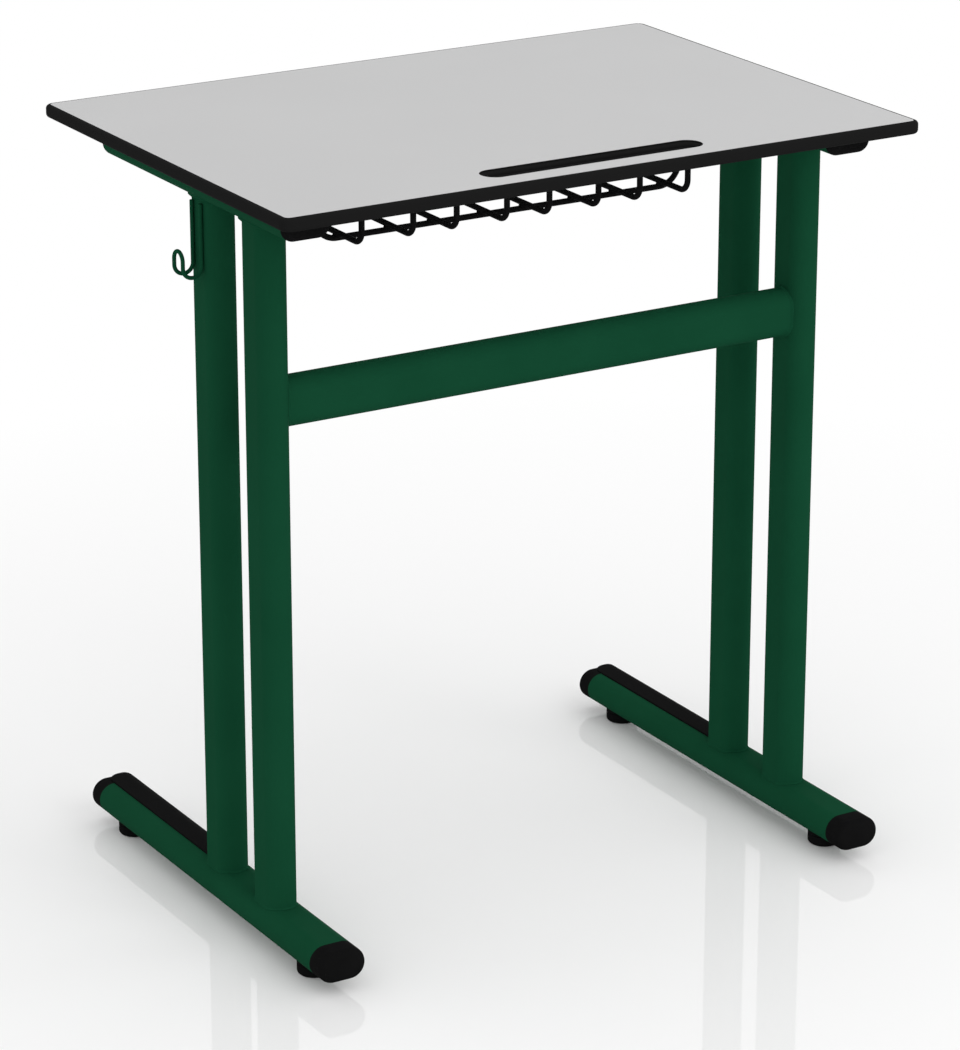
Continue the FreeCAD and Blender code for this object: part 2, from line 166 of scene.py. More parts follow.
# Round pits, packed side by side
def pits(tree, scale):
    return textureNode(tree, "ShaderNodeTexVoronoi", scale).outputs["Distance"]


# Maps a value from its own range to another
def rangeNode(tree, source, fromRange, toRange):
    mapped = tree.nodes.new("ShaderNodeMapRange")
    for socket, value in zip(("From Min", "From Max", "To Min", "To Max"), (*fromRange, *toRange)):
        mapped.inputs[socket].default_value = value
    tree.links.new(source, mapped.inputs["Value"])
    return mapped.outputs["Result"]


# Mixes a look's two colours by a texture, over the range of its values that the look gives
def mixedColour(tree, source, look):
    mix = tree.nodes.new("ShaderNodeMix")
    mix.data_type = "RGBA"
    tree.links.new(rangeNode(tree, source, look["mixRange"], (0, 1)), mix.inputs["Factor"])
    mix.inputs[mixSockets["first"]].default_value = (*look["colour"], 1)
    mix.inputs[mixSockets["second"]].default_value = (*look["second"], 1)
    return mix.outputs[mixSockets["result"]]


# Puts a finish on its shader: the colour, a roughness that follows the wear, the sheen and the relief
def finishShader(tree, shader, look, colour, wear, relief):
    tree.links.new(colour, shader.inputs["Base Color"])
    tree.links.new(rangeNode(tree, wear, noiseMiddle, look["rough"]), shader.inputs["Roughness"])
    shader.inputs["Specular IOR Level"].default_value = look["specular"]
    bump = tree.nodes.new("ShaderNodeBump")
    bump.inputs["Strength"].default_value = look["bumpStrength"]
    bump.inputs["Distance"].default_value = look["bumpHeight"]
    tree.links.new(relief, bump.inputs["Height"])
    tree.links.new(bump.outputs["Normal"], shader.inputs["Normal"])


powderLook = {"colour": (0.0062, 0.0590, 0.0270), "second": (0.0072, 0.0640, 0.0297),
              "mixRange": (0.35, 0.7), "cloudScale": 14, "cloudDetail": 3,
              "peelScale": 620, "peelDetail": 1.5, "bumpHeight": 0.00006, "bumpStrength": 0.35,
              "rough": (0.55, 0.68), "specular": 0.004}
wireLook = {**powderLook, "colour": (0.0066, 0.0066, 0.0068), "second": (0.0084, 0.0084, 0.0086),
            "specular": 0.006}


# Powder coat: a colour that drifts a little, and the low waves of orange peel
def powderCoat(name, look):
    material, tree, shader = newMaterial(name)
    cloud = noise(tree, look["cloudScale"], look["cloudDetail"])
    peel = noise(tree, look["peelScale"], look["peelDetail"])
    finishShader(tree, shader, look, mixedColour(tree, cloud, look), cloud, peel)
    return material


mouldedLook = {"colour": (0.0066, 0.0066, 0.0068), "second": (0.0080, 0.0080, 0.0082),
               "mixRange": (0.45, 0.75), "cloudScale": 40, "cloudDetail": 4, "grainScale": 2600,
               "bumpHeight": 0.00004, "bumpStrength": 0.5, "rough": (0.58, 0.70), "specular": 0.004}


# Moulded plastic: the fine pitted grain of a spark-cut mould
def mouldedPlastic(name, look):
    material, tree, shader = newMaterial(name)
    cloud = noise(tree, look["cloudScale"], look["cloudDetail"])
    finishShader(tree, shader, look, mixedColour(tree, cloud, look), cloud, pits(tree, look["grainScale"]))
    return material


laminateLook = {"colour": (0.552, 0.552, 0.554), "second": (0.522, 0.522, 0.524), "mixRange": (0.35, 0.75),
                "fleckScale": 1500, "fleckDetail": 2, "driftScale": 5, "driftDetail": 3,
                "drift": (0.992, 1.008), "grainScale": 3200, "bumpHeight": 0.00003, "bumpStrength": 0.25,
                "rough": (0.44, 0.56), "specular": 0.30}


# Decor laminate: grey with a faint fleck, a fine matt grain and slight wear in its sheen
def decorLaminate(name, look):
    material, tree, shader = newMaterial(name)
    fleck = noise(tree, look["fleckScale"], look["fleckDetail"])
    drift = noise(tree, look["driftScale"], look["driftDetail"])
    level = tree.nodes.new("ShaderNodeHueSaturation")
    tree.links.new(mixedColour(tree, fleck, look), level.inputs["Color"])
    tree.links.new(rangeNode(tree, drift, noiseMiddle, look["drift"]), level.inputs["Value"])
    finishShader(tree, shader, look, level.outputs["Color"], drift, pits(tree, look["grainScale"]))
    return material


coreLook = {"colour": (0.0098, 0.0098, 0.0100), "second": (0.0130, 0.0129, 0.0128), "mixRange": (0, 1),
            "sheetPitch": 0.00045, "sheetWaver": 0.6, "cutScale": 260, "cutDetail": 3,
            "cutStretch": (0.2, 0.2, 9), "bumpHeight": 0.00003, "bumpStrength": 0.5,
            "rough": (0.50, 0.64), "specular": 0.006}
waveRadians = 20  # what a wave texture of scale 1 turns through in a metre


# Compact core: pressed sheets seen as faint lines along the cut edge, lightly polished
def compactCore(name, look):
    material, tree, shader = newMaterial(name)
    cut = noise(tree, look["cutScale"], look["cutDetail"], look["cutStretch"])
    sheets = textureNode(tree, "ShaderNodeTexWave", 2 * pi / look["sheetPitch"] / waveRadians,
                         Distortion=look["sheetWaver"])
    sheets.bands_direction = "Z"
    finishShader(tree, shader, look, mixedColour(tree, sheets.outputs["Fac"], look), cut, cut)
    return material


zincLook = {"colour": (0.60, 0.60, 0.58), "second": (0.42, 0.42, 0.40), "mixRange": (0.4, 0.7),
            "cloudScale": 90, "cloudDetail": 4, "brushScale": 900, "brushDetail": 2,
            "brushStretch": (1, 1, 0.1), "bumpHeight": 0.00001, "bumpStrength": 0.4,
            "rough": (0.22, 0.42), "specular": 0.5}
brassLook = {**zincLook, "colour": (0.62, 0.45, 0.18), "second": (0.40, 0.27, 0.10)}


# Plated or turned metal: bright, with dull clouds and fine turning marks
def turnedMetal(name, look):
    material, tree, shader = newMaterial(name)
    cloud = noise(tree, look["cloudScale"], look["cloudDetail"])
    brush = noise(tree, look["brushScale"], look["brushDetail"], look["brushStretch"])
    finishShader(tree, shader, look, mixedColour(tree, cloud, look), cloud, brush)
    shader.inputs["Metallic"].default_value = 1
    return material


greenCoat = powderCoat("greenPowderCoat", powderLook)
blackCoat = powderCoat("blackWireCoat", wireLook)
blackMoulded = mouldedPlastic("blackMouldedPlastic", mouldedLook)
greyDecor = decorLaminate("greyDecorLaminate", laminateLook)
blackCore = compactCore("blackCompactCore", coreLook)
zinc = turnedMetal("zincPlate", zincLook)
brass = turnedMetal("turnedBrass", brassLook)
print("finishes made")


# Outlines and profiles

# Angles once round, without the last, which is the first again
def fullTurn(columns):
    return np.linspace(0, 2 * pi, columns, endpoint=False)


# Flat oval: straight sides along u joined by half rounds. Gives its points and the way out at each.
def ovalOutline(wide, narrow, arcSteps, flatSteps):
    endR = narrow / 2
    reach = wide / 2 - endR
    turn = np.linspace(-pi / 2, pi / 2, arcSteps, endpoint=False)
    run = np.linspace(reach, -reach, flatSteps, endpoint=False)
    roundOut = np.stack([np.cos(turn), np.sin(turn)], 1)
    straightOut = np.tile([0.0, 1.0], (flatSteps, 1))
    straight = np.stack([run, np.full(flatSteps, endR)], 1)
    half = np.concatenate([roundOut * endR + [reach, 0], straight])
    halfOut = np.concatenate([roundOut, straightOut])
    return np.concatenate([half, -half]), np.concatenate([halfOut, -halfOut])


# Quarter round from a face to a side, as (inset, drop) pairs: a circle about the point r in and r down
def quarterRound(radius, steps):
    turn = np.linspace(0, pi / 2, steps)
    return np.stack([radius - radius * np.sin(turn), radius - radius * np.cos(turn)], 1)


# Surface about an upright line: each ring has a radius and a level, both numbers or arrays over the turn
def ringsAbout(x, y, rings, columns, closeRows):
    turn = fullTurn(columns)
    grid = [np.stack([x + radius * np.cos(turn), y + radius * np.sin(turn),
                      np.broadcast_to(z, turn.shape)], 1) for radius, z in rings]
    return np.stack(grid), closeRows, True


tube = {"wide": 0.050, "wall": 0.002, "gap": 0.0001, "arcSteps": 96, "flatSteps": 44,
        "plainArcSteps": 40, "plainFlatSteps": 12}
footNarrow = 0.032
railNarrow = 0.025


# How far the tube's curved side stands from its middle, v away from the middle of its flat:
# level over the straight part, then the half round's circle
def tubeSide(v, narrow):
    past = np.clip(np.abs(v) - (tube["wide"] - narrow) / 2, 0, narrow / 2)
    return np.sqrt((narrow / 2) ** 2 - past ** 2)


beadLook = {"steps": 14, "ripple": 0.00011, "ripplePitch": 0.0023, "lean": 2.2, "fullShare": 0.30,
            "wander": 0.08, "wanderTurns": 5}


# Weld bead along a tube's end: its leg fades to nothing over its run by a smooth step,
# with leaning ripples along the seam and a run that wanders a little
def beadRows(outline, leg, run, seed):
    shares = np.linspace(0, 1, beadLook["steps"])[:, None]
    steps = np.linalg.norm(np.diff(outline, axis=0, append=outline[:1]), axis=1)
    along = np.cumsum(steps)[None, :]
    total = along[0, -1]
    waves = np.round(total / beadLook["ripplePitch"])
    fade = np.clip((shares - beadLook["fullShare"]) / (1 - beadLook["fullShare"]), 0, 1)
    profile = 1 - fade * fade * (3 - 2 * fade)
    phase = 2 * pi * waves * along / total + beadLook["lean"] * shares ** 2 + seed
    offset = leg * profile + beadLook["ripple"] * profile * np.sin(phase)
    wander = beadLook["wander"] * np.sin(2 * pi * beadLook["wanderTurns"] * along / total + seed)
    return offset, run * shares * (1 + wander)


# Tube between two others, coped over both, with a bead at each end and its bore.
# A row is the outline moved outwards, at a level that follows the other tube's side.
# Each end gives the other tube's level, its narrow side, and the bead's leg and run.
def copedTube(origin, uWay, vWay, runWay, startEnd, farEnd, seed):
    outline, outward = ovalOutline(tube["wide"], footNarrow, tube["arcSteps"], tube["flatSteps"])

    def rows(offset, drop, end, sign):
        flat = outline[None] + outward[None] * offset[..., None]
        run = end[0] + sign * (tubeSide(flat[..., 1], end[1]) + tube["gap"] + drop)
        return origin + flat[..., :1] * uWay + flat[..., 1:] * vWay + run[..., None] * runWay

    startOffset, startDrop = beadRows(outline, *startEnd[2], seed)
    farOffset, farDrop = beadRows(outline, *farEnd[2], seed + 1)
    inner = np.full((1, len(outline)), -tube["wall"])
    none = np.zeros_like(inner)
    stack = [rows(startOffset, startDrop, startEnd, 1), rows(farOffset, farDrop, farEnd, -1)[::-1],
             rows(inner, none, farEnd, -1), rows(inner, none, startEnd, 1)]
    return np.concatenate(stack), True, True


# Straight tube along Y with its bore: the outline out, the end faces, and the outline in
def straightTube(x, z, yStart, yEnd, narrow):
    outline, outward = ovalOutline(tube["wide"], narrow, tube["plainArcSteps"], tube["plainFlatSteps"])
    bore = outline - outward * tube["wall"]
    loops = [(outline, yStart), (outline, yEnd), (bore, yEnd), (bore, yStart)]
    grid = [np.stack([x + flat[:, 0], np.full(len(flat), y), z + flat[:, 1]], 1) for flat, y in loops]
    return np.stack(grid), True, True


# Loops of the tube's outline about a line along Y: each has an inset and a distance out of the mouth
def ovalLoops(x, z, mouth, way, profile, narrow):
    outline, outward = ovalOutline(tube["wide"], narrow, tube["plainArcSteps"], tube["plainFlatSteps"])
    profile = np.asarray(profile)
    flat = outline[None] - outward[None] * profile[:, :1, None]
    y = np.broadcast_to(mouth + way * profile[:, 1:], flat.shape[:2])
    return np.stack([x + flat[..., 0], y, z + flat[..., 1]], -1), False, True


# Steel frame

posts = {"railBead": (0.0034, 0.0038), "footBead": (0.0010, 0.0016)}
bar = {"bead": (0.0016, 0.0024)}
rail = {"clearR": 0.0033, "accessR": 0.0070, "past": 0.004, "holeSides": 64}
foot = {"barrelHoleR": 0.00715, "past": 0.004}
frameScrew = {"r": 0.0030, "headR": 0.0060, "headHeight": 0.0040, "crownR": 0.0018}  # holds the top on

railZ = centreOf("top_rail_left")[2]
footZ = centreOf("foot_tube_left")[2]
screwLow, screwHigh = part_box("frame_screws")
railScrewYs = (screwLow[1] + frameScrew["headR"],
               (centreOf("post_left_far")[1] + centreOf("post_left_user")[1]) / 2,
               screwHigh[1] - frameScrew["headR"])
for side in sides:
    for place in places:
        node = f"post_{side}_{place}"
        x, y, _ = centreOf(node)
        grid = copedTube(np.array([x, y, 0]), yWay, xWay, zWay, (footZ, footNarrow, posts["footBead"]),
                         (railZ, railNarrow, posts["railBead"]), seed=x + y)
        addPiece(f"{node}_skin", makeMesh(node, [grid]), greenCoat, [node])

barCentre = centreOf("crossbar")
leftX, rightX = centreOf("post_left_far")[0], centreOf("post_right_far")[0]
grid = copedTube(np.array([0, barCentre[1], barCentre[2]]), zWay, yWay, xWay,
                 (leftX, footNarrow, bar["bead"]), (rightX, footNarrow, bar["bead"]), seed=0)
addPiece("crossbar_skin", makeMesh("crossbar", [grid]), greenCoat, ["crossbar"])


# Upright drill: a circle between two levels, closed at both
def drillGrid(x, y, radius, low, high):
    rings = [(0, low), (radius, low), (radius, high), (0, high)]
    return ringsAbout(x, y, rings, rail["holeSides"], False)


# Cuts the drills out of a mesh and gives the result as a new one
def drilled(mesh, drills):
    blank = bpy.data.objects.new("blank", mesh)
    cutter = bpy.data.objects.new("cutter", makeMesh("cutter", drills))
    for part in (blank, cutter):
        bpy.context.scene.collection.objects.link(part)
    cut = blank.modifiers.new("holes", "BOOLEAN")
    cut.object, cut.operation, cut.solver = cutter, "DIFFERENCE", "EXACT"
    result = bpy.data.meshes.new_from_object(blank.evaluated_get(bpy.context.evaluated_depsgraph_get()))
    for part in (blank, cutter):
        bpy.data.objects.remove(part)
    smoothShade(result)
    return result


for side in sides:
    node = f"top_rail_{side}"
    low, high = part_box(node)
    x, _, z = centreOf(node)
    skin = makeMesh(node, [straightTube(x, z, low[1], high[1], railNarrow)])
    drills = []
    for y in railScrewYs:
        drills.append(drillGrid(x, y, rail["clearR"], z, high[2] + rail["past"]))
        drills.append(drillGrid(x, y, rail["accessR"], low[2] - rail["past"], z - rail["past"]))
    addPiece(f"{node}_skin", drilled(skin, drills), greenCoat, [node])

    node = f"foot_tube_{side}"
    low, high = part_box(node)
    x, _, z = centreOf(node)
    skin = makeMesh(node, [straightTube(x, z, low[1], high[1], footNarrow)])
    drills = [drillGrid(x, centreOf(f"glide_insert_{side}_{place}")[1], foot["barrelHoleR"],
                        low[2] - foot["past"], z - foot["past"]) for place in places]
    addPiece(f"{node}_skin", drilled(skin, drills), greenCoat, [node])
print("steel frame done")


# Moulded ends

caps = {"clearance": 0.00015, "plugWall": 0.002, "plugLength": 0.018, "roundSteps": 14, "nose": 0.0012}


# Cap: end face, rounded rim, side, step to the plug, plug, and its hollow back to the middle
def capProfile(length, rimR, narrow):
    plugInset = tube["wall"] + caps["clearance"]
    hollowInset = plugInset + caps["plugWall"]
    middle = narrow / 2
    rim = quarterRound(rimR, caps["roundSteps"])
    rim = np.stack([rim[:, 0], length - rim[:, 1]], 1)
    inner = [(0, 0), (plugInset, 0), (plugInset, caps["nose"] - caps["plugLength"]),
             (plugInset + caps["nose"] / 2, -caps["plugLength"]), (hollowInset, -caps["plugLength"]),
             (hollowInset, 0), (middle, 0)]
    return np.concatenate([[(middle, length)], rim, inner])


railCap = {"rim": 0.0060}
footCap = {"rim": 0.0080}

for side in sides:
    low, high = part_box(f"top_rail_{side}")
    x, _, z = centreOf(f"top_rail_{side}")
    for place, mouth, way in (("far", low[1], -1), ("user", high[1], 1)):
        node = f"rail_cap_{side}_{place}"
        length = abs(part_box(node)[0 if way < 0 else 1][1] - mouth)
        grid = ovalLoops(x, z, mouth, way, capProfile(length, railCap["rim"], railNarrow), railNarrow)
        addPiece(f"{node}_moulding", makeMesh(node, [grid]), blackMoulded, [node])
    low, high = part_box(f"foot_tube_{side}")
    x, _, z = centreOf(f"foot_tube_{side}")
    node = f"foot_cap_{side}"
    length = low[1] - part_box(node)[0][1]
    grid = ovalLoops(x, z, low[1], -1, capProfile(length, footCap["rim"], footNarrow), footNarrow)
    addPiece(f"{node}_moulding", makeMesh(node, [grid]), blackMoulded, [node])

guard = {"capRim": 0.0050, "thickness": 0.0018, "leftOf": 0.0080, "drop": 0.0040, "edge": 0.0008,
         "endStep": 0.0025, "cornerR": 0.0140, "clearance": 0.00005, "sink": 0.0012, "postGap": 0.0013,
         "steps": 40, "flatSteps": 5, "edgeSteps": 8, "mouthShares": (0, 0, 0.5, 1),
         "tipShares": (0.3, 0.001), "tipSteps": 14}


# Scuff guard: a thin section over half the tube's top and round its right side, carried along Y
# from the post's curve to the cap. Its left corner at the cap is a quarter circle seen from above.
# Its height above the tube at a distance d from an edge is a plain wall and a circle of the edge's radius.
def guardStrip(x, z, postY, mouthY, tipY):
    reach = (tube["wide"] - footNarrow) / 2
    radius = footNarrow / 2
    cornerR, edge = guard["cornerR"], guard["edge"]
    cornerX, endY = cornerR - guard["leftOf"], tipY - guard["endStep"]
    lowest = -np.arcsin(guard["drop"] / radius)
    cornerTurn = np.linspace(0, pi / 2, guard["steps"] // 2, endpoint=False)
    flatRun = np.concatenate([cornerX - cornerR * np.cos(cornerTurn),
                              np.linspace(cornerX, reach, guard["flatSteps"])[:-1]])
    edgeRound = 1 - np.sin(np.linspace(0, pi / 2, guard["edgeSteps"])[1:])
    turn = np.concatenate([np.linspace(pi / 2, lowest + edge / radius, guard["steps"]),
                           lowest + edge / radius * edgeRound])
    path = np.concatenate([np.stack([flatRun, np.full(len(flatRun), radius)], 1),
                           np.stack([reach + radius * np.cos(turn), radius * np.sin(turn)], 1)])
    out = np.concatenate([np.tile([0.0, 1.0], (len(flatRun), 1)),
                          np.stack([np.cos(turn), np.sin(turn)], 1)])
    steps = np.linalg.norm(np.diff(path, axis=0), axis=1)
    fromLowEdge = np.append(np.cumsum(steps[::-1])[::-1], 0)

    intoCorner = np.maximum(cornerX - path[:, 0], 0)
    ends = endY - cornerR + np.sqrt(cornerR ** 2 - intoCorner ** 2)
    postR = radius + guard["postGap"]
    starts = postY + reach + np.sqrt(np.clip(postR ** 2 - path[:, 0] ** 2, 0, None))
    toMouth = np.array(guard["mouthShares"])[:, None]
    toEnd = 1 - np.geomspace(*guard["tipShares"], guard["tipSteps"])
    toEnd = np.concatenate([[0], toEnd, [1, 1]])[:, None]
    y = np.concatenate([starts + (mouthY - starts) * toMouth, mouthY + (ends - mouthY) * toEnd])

    fromCorner = cornerR - np.hypot(intoCorner, np.maximum(y - endY + cornerR, 0))
    nearest = np.minimum(np.broadcast_to(fromLowEdge, y.shape), fromCorner)
    height = guard["thickness"] - edge + np.sqrt(edge ** 2 - np.clip(edge - nearest, 0, edge) ** 2)
    under = np.full(y.shape, guard["clearance"])
    under[len(toMouth):] = -guard["sink"]
    height[0], height[-1] = under[0], under[-1]
    outer = path[None] + out[None] * height[..., None]
    inner = path[None] + out[None] * under[..., None]
    ring = np.concatenate([outer, inner[:, ::-1]], 1)
    ringY = np.concatenate([y, y[:, ::-1]], 1)
    return np.stack([x + ring[..., 0], ringY, z + ring[..., 1]], -1), False, True


for side in sides:
    low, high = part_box(f"foot_tube_{side}")
    x, _, z = centreOf(f"foot_tube_{side}")
    node = f"foot_guard_{side}"
    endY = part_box(node)[1][1]
    cap = ovalLoops(x, z, high[1], 1, capProfile(endY - high[1], guard["capRim"], footNarrow), footNarrow)
    strip = guardStrip(x, z, centreOf(f"post_{side}_user")[1], high[1], endY)
    addPiece(f"{node}_moulding", makeMesh(node, [cap, strip]), blackMoulded, [node])
print("moulded ends done")


# Desk top

slab = {"cornerR": 0.010, "edgeR": 0.004, "decor": 0.0003, "border": 0.0008, "edgeSteps": 12,
        "grooveLength": 0.242, "grooveWidth": 0.030, "grooveDepth": 0.006, "grooveFloorR": 0.004,
        "grooveInset": 0.0432, "grooveLip": 0.0004, "grooveRoundShare": 0.99999,
        "baseAngles": 240, "cornerAngles": 20, "endAngles": 60, "angleDigits": 6}
ray = {"farthest": 1.0, "halvings": 44}
slabLow = np.minimum(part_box("desk_top_core")[0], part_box("desk_top_underface")[0])
slabHigh = np.maximum(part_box("desk_top_core")[1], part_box("desk_top_face")[1])
slabHalf = (slabHigh - slabLow)[:2] / 2
grooveHalf = np.array([slab["grooveLength"], slab["grooveWidth"]]) / 2
grooveCentre = np.array([0, slabLow[1] + slab["grooveInset"]])


# Angles that meet every corner round and both ends of the groove with enough points
def slabAngles():
    corners = []
    turn = np.linspace(0, pi / 2, slab["cornerAngles"])
    arc = np.stack([np.cos(turn), np.sin(turn)], 1) * slab["cornerR"] + slabHigh[:2] - slab["cornerR"]
    for signX in (-1, 1):
        for signY in (-1, 1):
            corners.append(arc * [signX, signY] - grooveCentre)
    reach = (slab["grooveLength"] - slab["grooveWidth"]) / 2
    turn = np.linspace(-pi / 2, pi / 2, slab["endAngles"])
    end = np.stack([np.cos(turn), np.sin(turn)], 1) * slab["grooveWidth"] / 2 + [reach, 0]
    points = np.concatenate(corners + [end, -end])
    spread = np.linspace(-pi, pi, slab["baseAngles"], endpoint=False)
    allAngles = np.concatenate([np.arctan2(points[:, 1], points[:, 0]), spread])
    return np.unique(allAngles.round(slab["angleDigits"]))


angles = slabAngles()


# How far a ray from the groove's middle runs before it leaves a rounded box, by halving:
# the box's distance is that of the point past its inner corner box, less the corner radius
def rayReach(boxCentre, halfSize, cornerR):
    ways = np.stack([np.cos(angles), np.sin(angles)], 1)
    near, far = np.zeros(len(angles)), np.full(len(angles), ray["farthest"])
    for _ in range(ray["halvings"]):
        middle = (near + far) / 2
        point = grooveCentre + ways * middle[:, None] - boxCentre
        past = np.abs(point) - (halfSize - cornerR)
        distance = np.linalg.norm(np.maximum(past, 0), axis=1) + np.minimum(past.max(1), 0) - cornerR
        near, far = np.where(distance < 0, middle, near), np.where(distance < 0, far, middle)
    return near


# A loop round the slab, this far in from its outline, at this level
def slabLoop(inset, z):
    return rayReach(np.zeros(2), slabHalf - inset, slab["cornerR"] - inset), z


# A loop round the groove, this far in from its wall
def grooveLoop(inset, z):
    endR = (grooveHalf[1] - inset) * slab["grooveRoundShare"]
    return rayReach(grooveCentre, grooveHalf - inset, endR), z


# A loop drawn in to the groove's middle line, where a face closes
def middleLoop(z):
    return grooveLoop(grooveHalf[1] - weldDistance, z)


# Surface from loops: at each angle a point lies the loop's reach from the groove's middle, at its level
def loopsToGrid(loops, closeRows):
    grid = [np.stack([grooveCentre[0] + reach * np.cos(angles), grooveCentre[1] + reach * np.sin(angles),
                      np.full(len(angles), z)], 1) for reach, z in loops]
    return np.stack(grid), closeRows, True


topZ, underZ = slabHigh[2], slabLow[2]
upperSeatZ, lowerSeatZ = topZ - slab["decor"], underZ + slab["decor"]  # where the decor lies on the core
floorZ = topZ - slab["grooveDepth"]
lip = slab["grooveLip"]
decorInset = slab["edgeR"] + slab["border"]  # the decor stops just before the edge round begins
coreRim = [(decorInset, slab["decor"]), (decorInset, 0), *quarterRound(slab["edgeR"], slab["edgeSteps"])]

# Core: groove floor, floor round, wall, the decor's seat, border and edge round, and the last three below
loops = [middleLoop(floorZ)]
loops += [grooveLoop(slab["grooveFloorR"] - drop, floorZ + slab["grooveFloorR"] - inset)
          for inset, drop in quarterRound(slab["grooveFloorR"], slab["edgeSteps"])]
loops += [grooveLoop(0, upperSeatZ)]
loops += [slabLoop(inset, topZ - drop) for inset, drop in coreRim]
loops += [slabLoop(inset, underZ + drop) for inset, drop in coreRim[::-1]]
loops += [grooveLoop(0, lowerSeatZ), middleLoop(lowerSeatZ)]
addPiece("desk_top_black_core", makeMesh("desk_top_core", [loopsToGrid(loops, False)]), blackCore,
         ["desk_top_core"])

# Upper decor: a ring from the groove's lip to the black border
loops = [grooveLoop(0, upperSeatZ), grooveLoop(0, topZ - lip / 2), grooveLoop(-lip / 2, topZ),
         slabLoop(decorInset, topZ), slabLoop(decorInset, upperSeatZ)]
addPiece("desk_top_grey_face", makeMesh("desk_top_face", [loopsToGrid(loops, True)]), greyDecor,
         ["desk_top_face"])

# Lower decor: a plain sheet to the black border
loops = [middleLoop(lowerSeatZ), slabLoop(decorInset, lowerSeatZ), slabLoop(decorInset, underZ),
         middleLoop(underZ)]
addPiece("desk_top_grey_underface", makeMesh("desk_top_underface", [loopsToGrid(loops, False)]), greyDecor,
         ["desk_top_underface"])
print("desk top done")


# Bent wire

wires = {"sides": 28, "bendStep": radians(5), "fewestBendPoints": 3, "chamfer": 0.0004, "uprightShare": 0.9,
         "dropRings": 9, "dropSides": 16}


# A line through corners with tangent arcs: each arc starts and ends its radius times
# the tangent of half the turn from its corner
def bentPath(points, radii):
    points = [np.asarray(p, float) for p in points]
    path = [points[:1]]
    for before, corner, after, radius in zip(points, points[1:], points[2:], radii):
        arrive = (corner - before) / np.linalg.norm(corner - before)
        leave = (after - corner) / np.linalg.norm(after - corner)
        turn = np.arccos(np.clip(arrive @ leave, -1, 1))
        entry = corner - arrive * radius * tan(turn / 2)
        side = leave - arrive * (arrive @ leave)
        side = side / np.linalg.norm(side)
        count = max(wires["fewestBendPoints"], int(turn / wires["bendStep"]))
        angle = np.linspace(0, turn, count)[:, None]
        path.append(entry + arrive * radius * np.sin(angle) + side * radius * (1 - np.cos(angle)))
    path.append(points[-1:])
    return np.concatenate(path)


# Round wire: a circle carried along the path without twist, with its ends chamfered and closed
def wireGrid(path, diameter):
    keep = np.concatenate([[True], np.linalg.norm(np.diff(path, axis=0), axis=1) > weldDistance])
    path = path[keep]
    steps = np.diff(path, axis=0)
    steps /= np.linalg.norm(steps, axis=1)[:, None]
    tangents = np.concatenate([steps[:1], steps[1:] + steps[:-1], steps[-1:]])
    tangents /= np.linalg.norm(tangents, axis=1)[:, None]
    start = np.cross(tangents[0], zWay if abs(tangents[0][2]) < wires["uprightShare"] else xWay)
    normals = [start / np.linalg.norm(start)]
    for tangent in tangents[1:]:
        carried = normals[-1] - tangent * (normals[-1] @ tangent)
        normals.append(carried / np.linalg.norm(carried))
    normals = np.array(normals)
    across = np.cross(tangents, normals)
    chamfer = wires["chamfer"]
    order = np.concatenate([[0, 0], np.arange(len(path)), [len(path) - 1] * 2])
    shift = np.zeros(len(order))
    radius = np.full(len(order), diameter / 2)
    radius[[0, -1]] = 0
    radius[[1, -2]] -= chamfer
    shift[2], shift[-3] = chamfer, -chamfer
    turn = fullTurn(wires["sides"])[None, :, None]
    circle = normals[order][:, None] * np.cos(turn) + across[order][:, None] * np.sin(turn)
    centre = path[order] + tangents[order] * shift[:, None]
    return centre[:, None] + circle * radius[:, None, None], False, True


# Drop of weld metal where two wires cross: a ball squashed to its size along each axis
def weldDrop(centre, size):
    tilt = np.linspace(0, pi, wires["dropRings"])[:, None]
    turn = fullTurn(wires["dropSides"])[None]
    ball = np.broadcast_arrays(np.sin(tilt) * np.cos(turn), np.sin(tilt) * np.sin(turn), np.cos(tilt))
    return np.asarray(centre) + np.stack(ball, -1) * np.asarray(size), False, True


basket = {"wire": 0.0060, "hairpins": 4, "width": 0.056, "bendR": 0.0125, "crossBendR": 0.0235,
          "hangerBendR": 0.008, "eyeR": 0.006, "eyeReach": 0.016, "gap": 0.0001,
          "crossDrop": (0.0035, 0.0035, 0.0018), "backDrop": (0.0030, 0.0016, 0.0024)}
wireR = basket["wire"] / 2
hangerZ = underZ - basket["gap"] - wireR

floorWires = []  # each floor wire's middle along X and its lowest level
for number in range(1, basket["hairpins"] + 1):
    node = f"basket_hairpin_{number}"
    low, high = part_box(node)
    floorWires += [(low[0] + wireR, low[2]), (high[0] - wireR, low[2])]
    x = (low[0] + high[0]) / 2
    left, right = x - basket["width"] / 2, x + basket["width"] / 2
    backY, userY, wireZ = low[1] + wireR, high[1] - wireR, low[2] + wireR
    corners = [(left, backY, hangerZ), (left, backY, wireZ), (left, userY, wireZ), (right, userY, wireZ),
               (right, backY, wireZ), (right, backY, hangerZ)]
    radii = [basket["bendR"], basket["width"] / 2, basket["width"] / 2, basket["bendR"]]
    grid = wireGrid(bentPath(corners, radii), basket["wire"])
    addPiece(f"{node}_wire", makeMesh(node, [grid]), blackCoat, [node])


# Corners of the screw eye that ends a wire entering along +X at y
def eyeCorners(x, y):
    r = basket["eyeR"]
    return [(x + r, y, hangerZ), (x + r, y + 2 * r, hangerZ), (x - r, y + 2 * r, hangerZ),
            (x - r, y + r, hangerZ)]


# Mirrors the right half's corners, so that the wire runs from the left end to the right
def bothWays(corners, radii):
    mirrored = [(-x, y, z) for x, y, z in corners[::-1]]
    return bentPath(mirrored + corners, radii[::-1] + radii)


